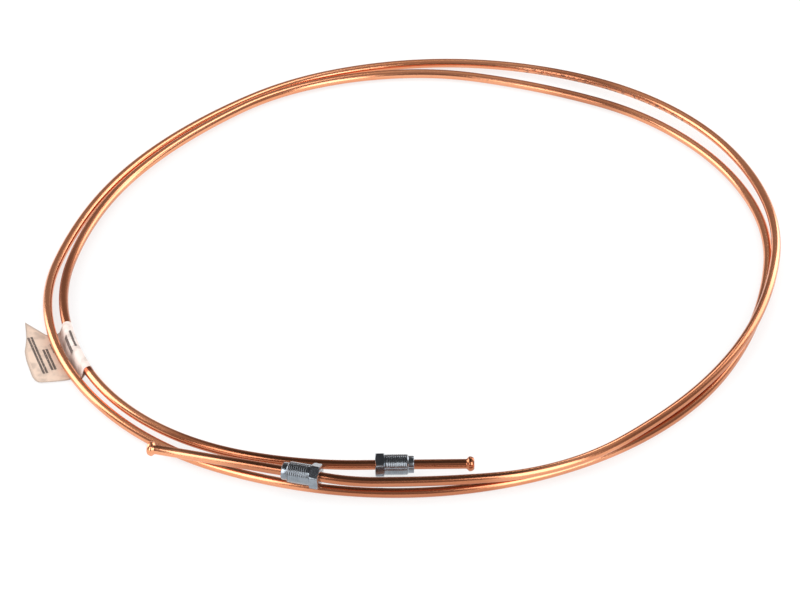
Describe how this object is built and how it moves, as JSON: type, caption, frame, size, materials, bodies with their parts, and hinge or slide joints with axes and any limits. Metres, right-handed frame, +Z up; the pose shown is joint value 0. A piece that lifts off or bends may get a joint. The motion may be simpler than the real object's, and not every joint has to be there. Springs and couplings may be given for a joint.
{
  "type": "copper tube coil",
  "caption": "Ready-made line of bright copper tube, bent into an open coil, with flared ends, loose hexagon flare nuts and a folded paper label.",
  "frame": {"origin": "middle of the whole part's footprint, on the floor that the coil lies on", "axes": "+X to the right as the picture shows it, +Y to the back, +Z up"},
  "size_m": [0.3772, 0.3722, 0.0177],
  "materials": {
    "copper": "bright drawn copper",
    "zinc": "bright zinc plate",
    "paper": "matt coated paper"
  },
  "bodies": {
    "line": {"tube": "copper", "label": "paper"},
    "left_nut": {"left_flare_nut": "zinc"},
    "right_nut": {"right_flare_nut": "zinc"}
  },
  "joints": [
    {"name": "left_nut_slide", "type": "slide", "parent": "line", "child": "left_nut", "axis": [-0.9659, 0.2588, 0], "range_m": [-0.0025, 0.064]},
    {"name": "right_nut_slide", "type": "slide", "parent": "line", "child": "right_nut", "axis": [0.9998, 0.0175, 0], "range_m": [-0.0065, 0.026]}
  ]
}
